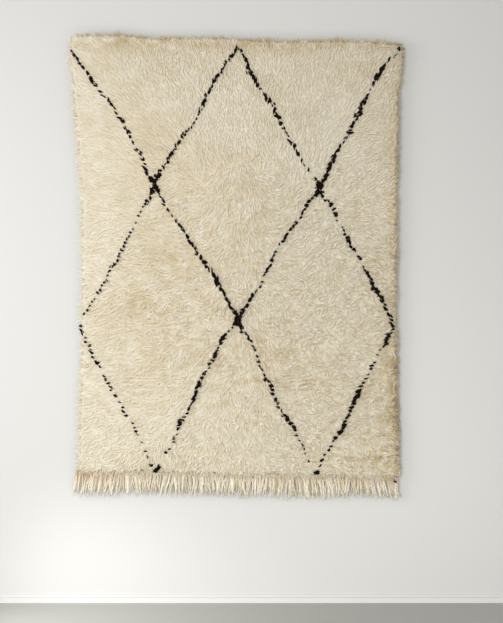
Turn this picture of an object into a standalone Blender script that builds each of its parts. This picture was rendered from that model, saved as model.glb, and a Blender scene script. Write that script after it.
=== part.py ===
"""Beni Ourain rug, hung flat by its top edge: hand-knotted wool pile with a warp fringe below.

Metres. +X runs to the right of someone facing the pile, +Y out of the woven back, +Z up.
The origin lies on the back, at the middle of the top edge, where the rug is held.
"""

import math
from collections import namedtuple

import bmesh
import bpy

# Sizes of the piled cloth
FOUNDATION = 0.005  # woven warp and weft at the back
PILE = 0.029  # knotted wool, combed flat over the foundation
RUG_THICKNESS = FOUNDATION + PILE
RIM_ROUNDING = 0.016  # the pile curls over at the edges
RIM_SEGMENTS = 3
CORNER = 0.022
OUTLINE_STEP = 0.021

# Locks of pile end unevenly along the edges: two waves of this height and these lengths
LOCK_DEPTH = 0.0032
LOCK_WAVES = (0.067, 0.043)

# Sizes of the fringe
PIECE_GAP = 0.0003
FRINGE_THICKNESS = 0.008
FRINGE_BACK = 0.0015  # the warp leaves the middle of the foundation
HEADING = 0.012  # the warps run side by side before they part
STRAND_PITCH = 0.0145
STRAND_WIDTH = 0.0108
TIP_WIDTH = 0.0055
TIP_POINT = 0.004  # how far the middle of a strand's end runs past its sides
LENGTH_SPREAD = 0.009
LEAN_SPREAD = 0.012

# The two long sides: height, and where the left and the right side lie there.
Side = namedtuple("Side", "z left right")
SIDES = (
    Side(0.03, -0.755, 0.756),
    Side(-0.09, -0.758, 0.758),
    Side(-0.19, -0.750, 0.746),
    Side(-0.28, -0.746, 0.738),
    Side(-0.50, -0.733, 0.736),
    Side(-0.73, -0.721, 0.732),
    Side(-0.95, -0.720, 0.732),
    Side(-1.17, -0.718, 0.728),
    Side(-1.40, -0.719, 0.732),
    Side(-1.62, -0.728, 0.736),
    Side(-1.85, -0.733, 0.740),
    Side(-1.99, -0.748, 0.738),
)

# The two ends: place across the rug, and the height of the top and of the bottom edge there.
End = namedtuple("End", "x top bottom")
ENDS = (
    End(-0.77, 0.018, -1.949),
    End(-0.53, 0.018, -1.947),
    End(-0.36, 0.003, -1.949),
    End(-0.17, 0.008, -1.956),
    End(0.00, 0.000, -1.962),
    End(0.19, -0.009, -1.963),
    End(0.37, -0.007, -1.965),
    End(0.55, -0.009, -1.970),
    End(0.77, -0.023, -1.977),
)

# The fringe: place across the rug, how far the strands hang, and how far they lean to the right
# for each metre that they hang.
Strand = namedtuple("Strand", "x length lean")
STRANDS = (
    Strand(-0.77, 0.098, -0.16),
    Strand(-0.62, 0.104, -0.09),
    Strand(-0.36, 0.094, -0.03),
    Strand(-0.17, 0.100, 0.00),
    Strand(0.05, 0.093, 0.01),
    Strand(0.30, 0.106, 0.03),
    Strand(0.50, 0.088, 0.02),
    Strand(0.62, 0.094, 0.00),
    Strand(0.77, 0.096, 0.00),
)


def remove_startup_objects():
    for obj in list(bpy.data.objects):
        bpy.data.objects.remove(obj, do_unlink=True)


def wool(name, colour, roughness):
    material = bpy.data.materials.new(name)
    material.use_nodes = True
    shader = material.node_tree.nodes["Principled BSDF"]
    shader.inputs["Base Color"].default_value = (*colour, 1.0)
    shader.inputs["Roughness"].default_value = roughness
    shader.inputs["Metallic"].default_value = 0.0
    return material


def smooth_value(rows, across, column, place):
    """The column's value at this place, on a smooth curve through the rows."""
    places = [getattr(row, across) for row in rows]
    values = [getattr(row, column) for row in rows]
    if places[0] > places[-1]:
        places.reverse()
        values.reverse()
    last = len(places) - 2
    i = min(max(sum(p <= place for p in places) - 1, 0), last)
    span = places[i + 1] - places[i]
    t = min(max((place - places[i]) / span, 0.0), 1.0)

    def slope(j):
        low, high = max(j - 1, 0), min(j + 1, last + 1)
        return span * (values[high] - values[low]) / (places[high] - places[low])

    rise = values[i + 1] - values[i]
    start, end = slope(i), slope(i + 1)
    curve = 3 * rise - 2 * start - end
    return values[i] + t * (start + t * (curve + t * (start + end - 2 * rise)))


def uneven(distance):
    """How far the locks of pile stand out at this distance along an edge."""
    long_wave, short_wave = LOCK_WAVES
    first = math.sin(math.tau * distance / long_wave)
    second = math.sin(math.tau * distance / short_wave + 1.3)
    return 0.5 * LOCK_DEPTH * (first + second)


def steps(start, end):
    """Places from start to end, about one outline step apart."""
    count = round(abs(end - start) / OUTLINE_STEP)
    return [start + (end - start) * i / count for i in range(count + 1)]


def side_point(z, side):
    outward = -1 if side == "left" else 1
    return smooth_value(SIDES, "z", side, z) + outward * uneven(z + 0.4 * outward), z


def end_point(x, end):
    outward = -1 if end == "bottom" else 1
    return x, smooth_value(ENDS, "x", end, x) + outward * uneven(x + 0.3 * outward)


def end_edge(end):
    """The top or the bottom edge between its corners, from left to right."""
    outer = smooth_value(ENDS, "x", end, 0.0)
    left = smooth_value(SIDES, "z", "left", outer)
    right = smooth_value(SIDES, "z", "right", outer)
    return [end_point(x, end) for x in steps(left + CORNER, right - CORNER)]


def rounded_corner(before, corner, after):
    """Three points on the arc that turns the corner between two edges."""
    arc = []
    for t in (0.25, 0.5, 0.75):
        weights = (1 - t) ** 2, 2 * t * (1 - t), t * t
        points = before, corner, after
        arc.append(tuple(sum(w * p[k] for w, p in zip(weights, points)) for k in (0, 1)))
    return arc


def rug_outline():
    """The outline of the pile, clockwise from the top left corner, seen from the front."""
    top = end_edge("top")
    bottom = end_edge("bottom")[::-1]
    right = [side_point(z, "right") for z in steps(top[-1][1] - CORNER, bottom[0][1] + CORNER)]
    left = [side_point(z, "left") for z in steps(bottom[-1][1] + CORNER, top[0][1] - CORNER)]
    edges = top, right, bottom, left
    outline = []
    for edge, following in zip(edges, edges[1:] + edges[:1]):
        is_end = edge in (top, bottom)
        corner = (following[0][0], edge[-1][1]) if is_end else (edge[-1][0], following[0][1])
        outline += edge + rounded_corner(edge[-1], corner, following[0])
    return outline


def fringe_outline():
    """The comb of warp ends: its heading follows the rug's bottom edge, its strands hang from it."""
    heading = [(x, z - PIECE_GAP) for x, z in end_edge("bottom")]
    start, end = heading[0][0], heading[-1][0]
    count = round((end - start) / STRAND_PITCH)
    pitch = (end - start) / count
    comb = []
    for i in reversed(range(count)):
        middle = start + (i + 0.5) * pitch
        root = smooth_value(ENDS, "x", "bottom", middle) - HEADING
        wander = math.sin(2.4 * i) + math.sin(1.1 * i + 0.7)
        length = smooth_value(STRANDS, "x", "length", middle) - HEADING
        length -= 0.5 * LENGTH_SPREAD * (1 - 0.5 * wander)
        lean = smooth_value(STRANDS, "x", "lean", middle) + LEAN_SPREAD * math.sin(1.7 * i)
        tip = middle + lean * length
        comb += [
            (middle + STRAND_WIDTH / 2, root),
            (tip + TIP_WIDTH / 2, root - length + TIP_POINT),
            (tip, root - length),
            (tip - TIP_WIDTH / 2, root - length + TIP_POINT),
            (middle - STRAND_WIDTH / 2, root),
        ]
    return heading + comb


def cut_out(name, outline, thickness):
    """A flat closed solid of this outline, which stands in the XZ plane, from y = 0 to the front."""
    curve = bpy.data.curves.new(name, "CURVE")
    curve.dimensions = "2D"
    curve.fill_mode = "BOTH"
    curve.extrude = thickness / 2
    spline = curve.splines.new("POLY")
    spline.points.add(len(outline) - 1)
    for point, (x, z) in zip(spline.points, outline):
        point.co = (x, z, 0.0, 1.0)
    spline.use_cyclic_u = True
    flat = bpy.data.objects.new(name + "_flat", curve)
    bpy.context.scene.collection.objects.link(flat)
    flat.rotation_euler.x = math.radians(90)
    flat.location.y = -thickness / 2
    bpy.context.view_layer.update()
    graph = bpy.context.evaluated_depsgraph_get()
    mesh = bpy.data.meshes.new_from_object(flat.evaluated_get(graph))
    mesh.name = name
    mesh.transform(flat.matrix_world)
    bpy.data.objects.remove(flat, do_unlink=True)
    solid = bmesh.new()
    solid.from_mesh(mesh)
    bmesh.ops.remove_doubles(solid, verts=solid.verts, dist=0.00001)
    bmesh.ops.dissolve_limit(
        solid, angle_limit=math.radians(0.5), verts=solid.verts, edges=solid.edges
    )
    bmesh.ops.recalc_face_normals(solid, faces=solid.faces)
    solid.to_mesh(mesh)
    solid.free()
    return bpy.data.objects.new(name, mesh)


def round_front_rim(obj, front, width, segments):
    """Rounds the edge between the front face and the sides, and leaves the back edge square."""
    mesh = obj.data
    weights = mesh.attributes.new("bevel_weight_edge", "FLOAT", "EDGE")
    for edge in mesh.edges:
        on_front = all(abs(mesh.vertices[i].co.y - front) < 1e-6 for i in edge.vertices)
        weights.data[edge.index].value = float(on_front)
    bevel = obj.modifiers.new("Rounded rim", "BEVEL")
    bevel.limit_method = "WEIGHT"
    bevel.width = width
    bevel.segments = segments
    bevel.use_clamp_overlap = False


def make_rug():
    rug = cut_out("rug", rug_outline(), RUG_THICKNESS)
    round_front_rim(rug, -RUG_THICKNESS, RIM_ROUNDING, RIM_SEGMENTS)
    rug.data.materials.append(wool("Cream wool pile", (0.74, 0.66, 0.51), 0.95))
    return rug


def make_fringe():
    fringe = cut_out("fringe", fringe_outline(), FRINGE_THICKNESS)
    fringe.location.y = -FRINGE_BACK
    fringe.data.materials.append(wool("Cream warp yarn", (0.66, 0.59, 0.46), 0.9))
    return fringe


remove_startup_objects()
rug_collection = bpy.data.collections.new("Beni Ourain rug")
bpy.context.scene.collection.children.link(rug_collection)
for piece in (make_rug(), make_fringe()):
    rug_collection.objects.link(piece)
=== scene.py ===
"""Looks of a Beni Ourain rug that hangs by its top edge: woven ground, shaggy pile, warp fringe.

Metres. +X runs to the right of someone facing the pile, +Y out of the woven back, +Z up.
"""

import math
from collections import namedtuple

import bmesh
import bpy
import numpy as np
from mathutils import Matrix, Vector


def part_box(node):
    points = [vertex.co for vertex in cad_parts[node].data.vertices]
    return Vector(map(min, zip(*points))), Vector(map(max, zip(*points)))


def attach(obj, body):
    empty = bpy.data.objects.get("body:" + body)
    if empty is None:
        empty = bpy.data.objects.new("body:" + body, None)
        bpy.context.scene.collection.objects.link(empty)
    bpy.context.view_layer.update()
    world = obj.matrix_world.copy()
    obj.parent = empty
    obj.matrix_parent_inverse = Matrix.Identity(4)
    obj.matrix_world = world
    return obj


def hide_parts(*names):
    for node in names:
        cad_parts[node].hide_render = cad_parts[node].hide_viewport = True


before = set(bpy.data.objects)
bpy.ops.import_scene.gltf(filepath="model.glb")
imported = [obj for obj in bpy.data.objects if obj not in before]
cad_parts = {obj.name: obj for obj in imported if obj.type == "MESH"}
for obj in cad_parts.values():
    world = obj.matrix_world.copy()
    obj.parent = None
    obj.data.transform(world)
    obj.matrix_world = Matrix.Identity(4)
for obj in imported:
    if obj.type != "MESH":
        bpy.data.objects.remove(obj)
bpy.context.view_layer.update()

# ------------------------------------------------------------------------------ woven ground
# The ground is hand-spun undyed wool, warped on an upright loom. After each row of knots the
# wefts are beaten down hard, so from behind they stand as low ribs from edge to edge.
# It is finished from behind only: the pile is tied through it and hides its front.

BACK = 0.0
GROUND = 0.0045
GROUND_INSET = 0.014  # the pile hangs over its edges
RIB_PITCH = 0.0112
RIB_DEPTH = 0.0013
RIB_STEPS = 4
GROUND_COLUMNS = 14
CORNER = 0.030
CORNER_ZONE = (0.045, 0.060)  # points this near a corner belong to no edge line
CURL_IN = 0.013  # the long sides curl in this far
CURL_FROM = -0.25  # on the left they do so only below this height, and fully below the next
CURL_FULL = -0.55

solid = np.array([vertex.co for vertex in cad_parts["rug"].data.vertices])
rim = solid[solid[:, 1] > -0.001]
low, high = rim.min(axis=0), rim.max(axis=0)


def edge_line(chosen, along, outward):
    """One edge of the rug as two matching rows: places along it, and where it lies there."""
    line = rim[chosen]
    line = line[np.argsort(line[:, along])]
    return line[:, along], line[:, outward]


across, up = CORNER_ZONE
beside = (rim[:, 2] < high[2] - up) & (rim[:, 2] > low[2] + up)
between = (rim[:, 0] > low[0] + across) & (rim[:, 0] < high[0] - across)
left_line = edge_line(beside & (rim[:, 0] < 0), 2, 0)
right_line = edge_line(beside & (rim[:, 0] > 0), 2, 0)
top_line = edge_line(between & (rim[:, 2] > high[2] - up), 0, 2)
bottom_line = edge_line(between & (rim[:, 2] < low[2] + up), 0, 2)
below_corner = np.clip((CURL_FROM - left_line[0]) / (CURL_FROM - CURL_FULL), 0, 1)
left_line = (left_line[0], left_line[1] + CURL_IN * below_corner)
right_line = (right_line[0], right_line[1] - CURL_IN)


def inside(x, z):
    """How far a place lies inside the rug's outline. It is below zero outside it."""
    across = np.minimum(x - np.interp(z, *left_line), np.interp(z, *right_line) - x)
    along = np.minimum(np.interp(x, *top_line) - z, z - np.interp(x, *bottom_line))
    turn = CORNER - np.hypot(np.maximum(CORNER - across, 0), np.maximum(CORNER - along, 0))
    return np.minimum(np.minimum(across, along), np.where(turn < CORNER, turn, 1.0))


def on_ground(share_across, share_up, inset):
    """The place at these shares of the rug's width and height, from its bottom left corner."""
    x = low[0] + share_across * (high[0] - low[0])
    bottom = np.interp(x, *bottom_line) + inset
    z = bottom + share_up * (np.interp(x, *top_line) - inset - bottom)
    left = np.interp(z, *left_line) + inset
    return left + share_across * (np.interp(z, *right_line) - inset - left), z


def linear(hex_colour):
    """An sRGB hex colour as the linear colour that a shader takes."""
    parts = [int(hex_colour[i : i + 2], 16) / 255 for i in (1, 3, 5)]
    return tuple(p / 12.92 if p <= 0.04045 else ((p + 0.055) / 1.055) ** 2.4 for p in parts) + (1.0,)


def add_node(material, kind, settings=None, **inputs):
    """Adds a node. An input is named with _ for a space, and takes a value or another node's output."""
    node = material.node_tree.nodes.new("ShaderNode" + kind)
    for name, value in (settings or {}).items():
        setattr(node, name, value)
    for name, value in inputs.items():
        key = int(name[1:]) if name[1:].isdigit() else name.replace("_", " ")
        if isinstance(value, bpy.types.NodeSocket):
            material.node_tree.links.new(value, node.inputs[key])
        else:
            node.inputs[key].default_value = value
    return node


def new_material(name):
    """A material that holds nothing but its output."""
    material = bpy.data.materials.new(name)
    material.use_nodes = True
    material.node_tree.nodes.clear()
    output = material.node_tree.nodes.new("ShaderNodeOutputMaterial")
    return material, output.inputs["Surface"]


def connect(material, shader, surface):
    material.node_tree.links.new(shader.outputs[0], surface)


def piece(mesh, material):
    """A finished piece: smooth, at the origin, and fixed to the rug."""
    mesh.materials.append(material)
    mesh.shade_smooth()
    obj = bpy.data.objects.new(mesh.name, mesh)
    bpy.context.scene.collection.objects.link(obj)
    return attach(obj, "root")


def wave_scale(pitch):
    """The Scale that gives a Wave texture this distance from crest to crest."""
    return math.tau / 20 / pitch


def slab(name, columns, rows, inset, back, front):
    """A sheet that fills the outline up to this inset. back and front give y at a place."""
    sheet = bmesh.new()
    bmesh.ops.create_grid(sheet, x_segments=columns, y_segments=rows, size=0.5)
    for vertex in sheet.verts:
        x, z = on_ground(vertex.co.x + 0.5, vertex.co.y + 0.5, inset)
        vertex.co = x, 0, z
    moved = bmesh.ops.extrude_face_region(sheet, geom=sheet.faces[:])["geom"]
    moved = {part for part in moved if isinstance(part, bmesh.types.BMVert)}
    x, z = (np.array([vertex.co[k] for vertex in sheet.verts]) for k in (0, 2))
    for vertex, behind, before in zip(sheet.verts, back(x, z), front(x, z)):
        vertex.co.y = before if vertex in moved else behind
    bmesh.ops.recalc_face_normals(sheet, faces=sheet.faces)
    mesh = bpy.data.meshes.new(name)
    sheet.to_mesh(mesh)
    sheet.free()
    return mesh


def ribs(x, z):
    return BACK - RIB_DEPTH * (0.5 - 0.5 * np.cos(math.tau * z / RIB_PITCH))


def ground_front(x, z):
    return np.full(len(x), BACK - GROUND)


# Undyed handspun wool in plain weave: matt, with warps under the wefts that show as fine steps
# in each rib, painted darker between them as shade, and a few yellower and greyer stretches
# where the yarn changed.
WARP_PITCH = 0.0056
YARN_CHANGE = (1.4, 1.0, 30.0)  # the yarn's stretches are long across the rug and a few wefts high
ground_wool, surface = new_material("Handspun wool plain weave")
place = add_node(ground_wool, "TexCoord").outputs["Object"]
warps = add_node(
    ground_wool,
    "TexWave",
    {"wave_type": "BANDS", "bands_direction": "X"},
    Vector=place,
    Scale=wave_scale(WARP_PITCH),
    Distortion=1.2,
    Detail=1.0,
)
yarn_change = add_node(ground_wool, "Mapping", Vector=place, Scale=YARN_CHANGE)
change = add_node(ground_wool, "TexNoise", Vector=yarn_change.outputs[0], Scale=1.6, Detail=3.0)
ground_tone = add_node(ground_wool, "ValToRGB", Fac=change.outputs["Fac"])
ground_tone.color_ramp.elements[0].position = 0.30
ground_tone.color_ramp.elements[0].color = linear("#C2B393")
ground_tone.color_ramp.elements[1].position = 0.72
ground_tone.color_ramp.elements[1].color = linear("#DDD2B8")
# Painted shade: the colour is darkened in the furrows between the warps.
furrow = add_node(
    ground_wool,
    "Mix",
    {"data_type": "RGBA", "blend_type": "MULTIPLY"},
    Factor=0.35,
    A=ground_tone.outputs["Color"],
    B=warps.outputs["Color"],
)
relief = add_node(
    ground_wool, "Bump", Height=warps.outputs["Fac"], Distance=0.0012, Strength=0.8
)
shader = add_node(
    ground_wool,
    "BsdfPrincipled",
    Base_Color=furrow.outputs["Result"],
    Roughness=0.92,
    Sheen_Weight=0.15,
    Normal=relief.outputs[0],
)
connect(ground_wool, shader, surface)

rib_rows = round((high[2] - low[2]) / RIB_PITCH) * RIB_STEPS
mesh = slab("woven_ground", GROUND_COLUMNS, rib_rows, GROUND_INSET, ribs, ground_front)
ground = piece(mesh, ground_wool)
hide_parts("rug")

# ------------------------------------------------------------------------------- packed pile
# Under the combed locks the pile's lower parts stand packed against each other, and read as one
# felted undercoat. Its top lies in uneven ridges across the rug, calm above and ruffled at the
# lower right, and rounds off to the edges. It is mountain fleece, knotted on to the ground.

PILE_HEIGHT = (0.0170, 0.0290)
PACKED_SHARE = (0.79, 0.32)  # the share of that height at which it packs, less where unruly
PACKED_GRID = (40, 480)
PACKED_INSET = GROUND_INSET + 0.003
PACKED_MAP = 0.05  # this much of the undercoat shows the fibres of one lock
PACKED_TONE = 0.012
# The undercoat is a little yellower: painted warm shade in the gaps between the locks.
PACKED_SHADE_TAN = 0.05
SUNK_IN = 0.001  # the pile starts this far inside the ground
RIM_WIDTH = 0.026
RIM_HEIGHT = 0.012

# Hands leave smooth waves in a pile: how strong each is, over what distance it changes, and the
# seed of its random values.
Wave = namedtuple("Wave", "depth size seed")
RIDGE_PITCH = 0.022
RIDGE_DEPTH = 0.0085
RIDGE_SHARE = 0.34
RIDGE_WANDER = Wave(0.034, 0.06, 18)
RIDGE_BREAKS = Wave(0.5, 0.045, 22)
HOLLOWS = Wave(0.3, 0.020, 19)
CALM = 0.2  # pile that is less unruly than this has no furrows
LOWER_PART = (-0.45, -1.10)  # where the lower part begins, and where it is fully so
RIGHT_PART = (-0.65, 0.05)
UNRULY = 0.35
UNRULY_RIGHT = 0.12
UNRULY_LOWER = 0.25
UNRULY_LOWER_RIGHT = 0.38
UNRULY_WAVE = Wave(0.08, 0.2, 17)


def drift(x, z, size, seed):
    """Smooth random values from -1 to 1 that change over about this distance."""
    cells = np.ceil((high[[0, 2]] - low[[0, 2]]) / size).astype(int) + 8
    values = np.random.default_rng(seed).uniform(-1, 1, cells)
    column, row = (x - low[0]) / size + 3, (z - low[2]) / size + 3
    i, k = np.floor(column).astype(int), np.floor(row).astype(int)
    i, k = np.clip(i, 0, cells[0] - 2), np.clip(k, 0, cells[1] - 2)
    s, t = column - i, row - k
    s, t = s * s * (3 - 2 * s), t * t * (3 - 2 * t)
    lower = values[i, k] * (1 - s) + values[i + 1, k] * s
    upper = values[i, k + 1] * (1 - s) + values[i + 1, k + 1] * s
    return lower * (1 - t) + upper * t


def waves(x, z, *rows):
    """The sum of these waves at a place."""
    return sum(row.depth * drift(x, z, row.size, row.seed) for row in rows)


def unruly(x, z):
    """How far the locks stray here: little in the combed upper part, most at the lower right."""
    lower = np.clip((LOWER_PART[0] - z) / (LOWER_PART[0] - LOWER_PART[1]), 0, 1)
    right = np.clip((x - RIGHT_PART[0]) / (RIGHT_PART[1] - RIGHT_PART[0]), 0, 1)
    lower_right = UNRULY_LOWER_RIGHT * lower * right
    own = waves(x, z, UNRULY_WAVE)
    return UNRULY + UNRULY_RIGHT * right + UNRULY_LOWER * lower + lower_right + own


def ruffled(x, z):
    """How open the pile is to furrows."""
    return np.clip(unruly(x, z) - CALM, 0, 1)


def hollow_at(x, z):
    """Depth of the furrows between the uneven ridges that cross the rug."""
    ridge = np.sin(math.tau * (z + waves(x, z, RIDGE_WANDER)) / RIDGE_PITCH)
    broken = 0.5 + waves(x, z, RIDGE_BREAKS)
    return (0.5 + RIDGE_SHARE * ridge * broken + waves(x, z, HOLLOWS)) * ruffled(x, z)


def surface_height(x, z):
    """Height of the combed surface over the ground, which rounds off to the rug's edge."""
    share = np.clip(inside(x, z) / RIM_WIDTH, -0.25, 1)
    height = RIM_HEIGHT + (PILE_HEIGHT[1] - RIM_HEIGHT) * np.sin(share * math.pi / 2)
    return height - RIDGE_DEPTH * hollow_at(x, z)


# Places where the wool is another colour: how far the patch reaches, and how much yellower and
# darker its wool is. Undyed fleece is never even, and handling has tanned the upper edge. The
# band along the right edge is painted shade, two patches left of the middle are painted shade,
# and one at the lower left edge is partly painted light, following the light's falloff from the left.
Patch = namedtuple("Patch", "x z wide high tan")
PATCHES = (
    Patch(0.15, -0.030, 1.0, 0.035, 0.7),
    Patch(0.19, -0.055, 0.12, 0.030, 0.6),
    # Painted shade: a brown band along the right edge, where the pile rounds away from the light.
    Patch(0.75, -0.9, 0.070, 1.00, 1.5),
    Patch(0.72, -1.70, 0.120, 0.35, 1.0),
    # Painted shade left of the middle, where the light from the left falls off.
    Patch(-0.42, -0.90, 0.22, 1.10, 0.35),
    Patch(0.35, -0.90, 0.28, 0.45, -0.45),
    Patch(0.32, -1.58, 0.22, 0.12, -0.4),
    # Painted shade left of the middle, where the light from the left falls off.
    Patch(-0.43, -1.05, 0.13, 0.50, 0.1),
    Patch(0.18, -1.42, 0.20, 0.12, 0.45),
    Patch(0.30, -1.55, 0.14, 0.07, 0.4),
    Patch(0.02, -0.75, 0.12, 0.30, 0.2),
    Patch(-0.16, -1.44, 0.12, 0.09, 0.3),
    # Partly the fleece's own whiter tone, partly painted light where the light from the left is
    # brightest.
    Patch(-0.70, -1.35, 0.12, 0.60, -0.2),
    Patch(-0.30, -1.75, 0.35, 0.20, -0.4),
    Patch(0.12, -1.80, 0.20, 0.14, -0.3),
    Patch(0.50, -1.28, 0.22, 0.12, -0.3),
)
FLEECE_TAN = (Wave(0.25, 0.13, 14), Wave(0.2, 0.05, 15))
TUFT_TAN = Wave(0.8, 0.028, 20)  # the tufts along the top edge are handled most
TUFT_MIDDLE = -0.020
TUFT_SPREAD = 0.035
FURROW_SHADE = 2.8  # painted shade: the wool is drawn yellower and darker down in the furrows


def tan_and_shade_at(x, z):
    """How much yellower and darker the wool is here, from its own colour and from painted shade."""
    total = waves(x, z, *FLEECE_TAN)
    for patch in PATCHES:
        away = ((x - patch.x) / patch.wide) ** 2 + ((z - patch.z) / patch.high) ** 2
        total = total + patch.tan * np.exp(-away)
    tufts = waves(x, z, TUFT_TAN) * np.exp(-(((z - TUFT_MIDDLE) / TUFT_SPREAD) ** 2))
    # Painted shade: yellower and darker wool down in the furrows.
    furrows = FURROW_SHADE * (hollow_at(x, z) - 0.5 * ruffled(x, z))
    return total + tufts + furrows


def places_on(mesh):
    """x and z of every vertex."""
    places = np.empty(len(mesh.vertices) * 3, np.float32)
    mesh.vertices.foreach_get("co", places)
    return places[0::3], places[2::3]


def corners_of(mesh):
    """The vertex of every face corner."""
    corners = np.empty(len(mesh.loops), np.int32)
    mesh.loops.foreach_get("vertex_index", corners)
    return corners


def set_attribute(mesh, name, value):
    attribute = mesh.attributes.new(name, "FLOAT", "POINT")
    attribute.data.foreach_set("value", value.astype(np.float32))


def set_map(mesh, name, uv):
    mesh.uv_layers.new(name=name).data.foreach_set("uv", uv.astype(np.float32).ravel())


# Loose mountain fleece, barely spun: matt and soft, with a faint sheen at grazing light. It is
# ivory at the tips and yellower and darker towards the roots, partly as the light doesn't bleach
# the roots and partly as painted shade down in the pile, and each lock has a tone of its own.
# Where it turns brown that is painted shade. Fine ridges of fibre run along every lock: real
# fibres are too fine to show, so these are coarser.
FIBRE_RIDGES = (9, 1.4, 1.0)  # round a lock, and along it
FIBRE_DEPTH = 0.0012
TONES = (-2.0, 2.0)


def own_tone(material):
    """Where each lock's or strand's own tone lies between the darkest and the lightest."""
    tone = add_node(material, "Attribute", {"attribute_name": "shade"}).outputs["Fac"]
    toned = add_node(material, "MapRange", Value=tone, From_Min=TONES[0], From_Max=TONES[1])
    return toned.outputs["Result"]


def fibre_relief(material, lock_map, strength):
    """The normal of wool with ridges of fibre along its locks."""
    fibre_way = add_node(material, "Mapping", Vector=lock_map, Scale=FIBRE_RIDGES)
    fibres = add_node(material, "TexNoise", Vector=fibre_way.outputs[0], Scale=2.0, Detail=3.0)
    relief = add_node(
        material, "Bump", Height=fibres.outputs["Fac"], Distance=FIBRE_DEPTH, Strength=strength
    )
    return relief.outputs[0]


cream_wool, surface = new_material("Undyed fleece locks")
lock_map = add_node(cream_wool, "UVMap", {"uv_map": "Lock"}).outputs["UV"]
lock_parts = add_node(cream_wool, "SeparateXYZ", Vector=lock_map)
tan_and_shade_value = add_node(cream_wool, "Attribute", {"attribute_name": "tan"}).outputs["Fac"]
ivory = add_node(
    cream_wool,
    "Mix",
    {"data_type": "RGBA"},
    Factor=own_tone(cream_wool),
    A=linear("#E7DDC6"),
    B=linear("#F6F0E1"),
)
to_tan_and_shade = add_node(cream_wool, "MapRange", Value=tan_and_shade_value, From_Min=-0.2, From_Max=1.2)
yellowed_and_shaded = add_node(
    cream_wool,
    "Mix",
    {"data_type": "RGBA"},
    Factor=to_tan_and_shade.outputs["Result"],
    A=ivory.outputs["Result"],
    B=linear("#D9C9A6"),
)
# Past 1 the wool turns brown: painted shade along the right edge and in the furrows.
to_shade_brown = add_node(cream_wool, "MapRange", Value=tan_and_shade_value, From_Min=1.0, From_Max=2.4)
shade_browned = add_node(
    cream_wool,
    "Mix",
    {"data_type": "RGBA"},
    Factor=to_shade_brown.outputs["Result"],
    A=yellowed_and_shaded.outputs["Result"],
    B=linear("#AB977C"),
)
# Yellower and darker towards the roots: partly less bleached wool, partly painted shade down in the
# pile.
to_root = add_node(
    cream_wool,
    "MapRange",
    Value=lock_parts.outputs["Y"],
    From_Min=0.2,
    From_Max=0.75,
    To_Min=0.45,
    To_Max=0.0,
)
wool_colour = add_node(
    cream_wool,
    "Mix",
    {"data_type": "RGBA"},
    Factor=to_root.outputs["Result"],
    A=shade_browned.outputs["Result"],
    B=linear("#E0CB9A"),
)
shader = add_node(
    cream_wool,
    "BsdfPrincipled",
    Base_Color=wool_colour.outputs["Result"],
    Roughness=0.9,
    Sheen_Weight=0.2,
    Sheen_Roughness=0.5,
    Normal=fibre_relief(cream_wool, lock_map, 0.32),
)
shader.inputs["Specular IOR Level"].default_value = 0.2
glow = add_node(cream_wool, "BsdfTranslucent", Color=wool_colour.outputs["Result"])
passed = add_node(cream_wool, "MixShader", _0=0.2, _1=shader.outputs[0], _2=glow.outputs[0])
connect(cream_wool, passed, surface)


def packed_front(x, z):
    share = PACKED_SHARE[0] - PACKED_SHARE[1] * unruly(x, z)
    return BACK - GROUND - surface_height(x, z) * share


def packed_back(x, z):
    return np.full(len(x), BACK - GROUND + SUNK_IN)


mesh = slab("packed_pile", *PACKED_GRID, PACKED_INSET, packed_back, packed_front)
px, pz = places_on(mesh)
set_attribute(mesh, "shade", drift(px, pz, PACKED_TONE, 62))
set_attribute(mesh, "tan", tan_and_shade_at(px, pz) + PACKED_SHADE_TAN)
corners = corners_of(mesh)
set_map(mesh, "Lock", np.stack([px[corners] / PACKED_MAP, pz[corners] / PACKED_MAP + 60], 1))
packed = piece(mesh, cream_wool)

# -------------------------------------------------------------------------------- cream pile
# Each lock is the loose end of a symmetric knot of soft mountain wool, 40 to 60 mm long, cut by
# hand. The locks are combed outwards from a crown above the middle and lie over each other like
# thatch, in clumps that close up at their tips. They are tied in bands, worked upwards.

PILE_BANDS = 5
KNOT_SPACING = 0.0082
KNOT_SHIFT = 0.45  # a root's way from its place in the row, as a share of the spacing
ROOTS_OUTSIDE = 0.003  # the outermost roots stand this far outside the ground
LEAST_RISE = 0.0015
LOCK_LENGTH = (0.040, 0.060)
LOCK_WIDTH = (0.0065, 0.0100)
LOCK_FLATNESS = 0.22
LOCK_RINGS = (0.36, 0.72)
LOCK_TAPER = ((0.0, 0.36, 0.72, 1.0), (0.75, 1.0, 0.72, 0.0))
LENGTH_SPREAD = (0.85, 1.12)
SHORTER = (1.10, 0.48)  # share of its length, and how much less where it strays
NARROWER = (1.30, 0.32)
FULL_WIDTH_FROM = 0.026  # a lock drawn back shorter than this is narrower too
CLUMP_TURN = 34  # in degrees, where the pile strays most
LOCK_TURN = 17
LOCK_CURL = 0.19
MOST_CURL = 0.38
OVERHANG = (-0.018, 0.007)
OWN_OVERHANG = 0.004  # more or less, for each lock of a clump
TOP_TRIM = 0.008  # the pile hangs over less along the top
TOP_ZONE = -0.08
RIGHT_TRIM = 0.010  # and curls in more along the right side
RIGHT_ZONE = 0.65
DRAWN_BACK = 0.88  # a tip that hangs over too far is drawn back to this share, until it fits
MOST_DRAWS = 12
CLUMP_SIZE = 0.018
CLUMP_STRETCH = 1.7  # clumps are this much longer along the combing than across it
CLUMP_PULL = 0.45
KNOT_SHARE = 0.58  # each lock is laid with this share of it behind its place in the grid
PILE_SOFTNESS = (0.87, 0.35)  # and this much less where the pile is unruly
SLOPE_SHOWN = (0.85, 0.45)  # share of the surface's slope that its softened normals show
SLOPE_STEP = 0.004

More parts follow.
